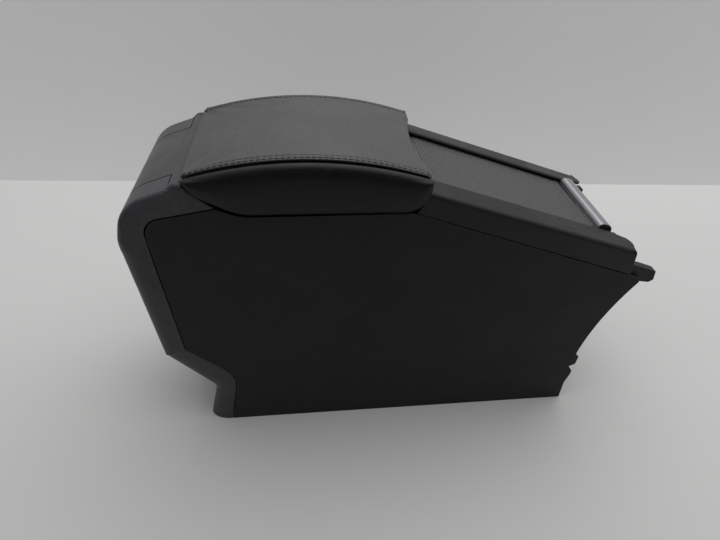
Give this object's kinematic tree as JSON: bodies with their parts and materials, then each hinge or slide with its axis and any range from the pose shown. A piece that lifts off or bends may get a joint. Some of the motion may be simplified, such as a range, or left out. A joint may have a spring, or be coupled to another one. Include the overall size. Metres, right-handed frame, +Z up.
{
  "type": "car centre armrest",
  "caption": "Rear section of a car centre console: padded armrest lid with side wings over a storage bin, and a ribbed sliding shutter with a pull bar over cup wells.",
  "frame": {"origin": "middle of the overall length and width, on the floor the object stands on", "axes": "+X to the front of the car, +Y to its left, +Z up"},
  "size_m": [0.5493, 0.184, 0.34],
  "materials": {
    "panel_black": "fine matte grain",
    "cover_black": "matte",
    "strip_grey": "matte",
    "frame_grey": "matte",
    "carrier_black": "matte",
    "liner_black": "matte",
    "rubber": "matte",
    "steel": "zinc plated",
    "pad_leather": "satin, fine grain",
    "wing_leather": "satin, fine grain",
    "pull_bar": "satin",
    "curtain": "ribbed, matte"
  },
  "bodies": {
    "console": {"side_panel_right": "panel_black", "side_panel_left": "panel_black", "rear_cover": "cover_black", "rear_panel": "strip_grey", "shutter_frame": "frame_grey", "inner_carrier": "carrier_black", "storage_bin": "liner_black", "bin_mat": "rubber", "cup_tray": "liner_black", "cup_mats": "rubber", "track_right": "carrier_black", "track_left": "carrier_black", "hinge_bracket": "steel", "hinge_pins": "steel", "bracket_screws": "steel", "latch_striker": "steel"},
    "lid": {"lid_carrier": "liner_black", "lid_liner": "liner_black", "pad_top": "pad_leather", "wing_right": "wing_leather", "wing_left": "wing_leather", "hinge_arms": "steel", "arm_screws": "steel", "bump_stops": "rubber", "latch_pin": "steel", "latch_spring": "steel"},
    "latch": {"latch_paddle": "liner_black"},
    "shutter": {"handle_bar": "pull_bar", "handle_caps": "liner_black", "handle_shoes": "carrier_black", "shutter_curtain": "curtain"}
  },
  "joints": [
    {"name": "lid_hinge", "type": "hinge", "parent": "console", "child": "lid", "pos_m": [-0.2135, 0, 0.314], "axis": [0, -1, 0], "range_deg": [0, 85]},
    {"name": "latch_pivot", "type": "hinge", "parent": "lid", "child": "latch", "pos_m": [-0.008, 0, 0.307], "axis": [0, -1, 0], "range_deg": [0, 10], "stiffness_Nm_per_rad": 0.02, "springref_deg": -20.05},
    {"name": "shutter_slide", "type": "slide", "parent": "console", "child": "shutter", "axis": [-0.9449, 0, 0.3272], "range_m": [0, 0.165], "deforming": ["shutter_curtain"]}
  ]
}
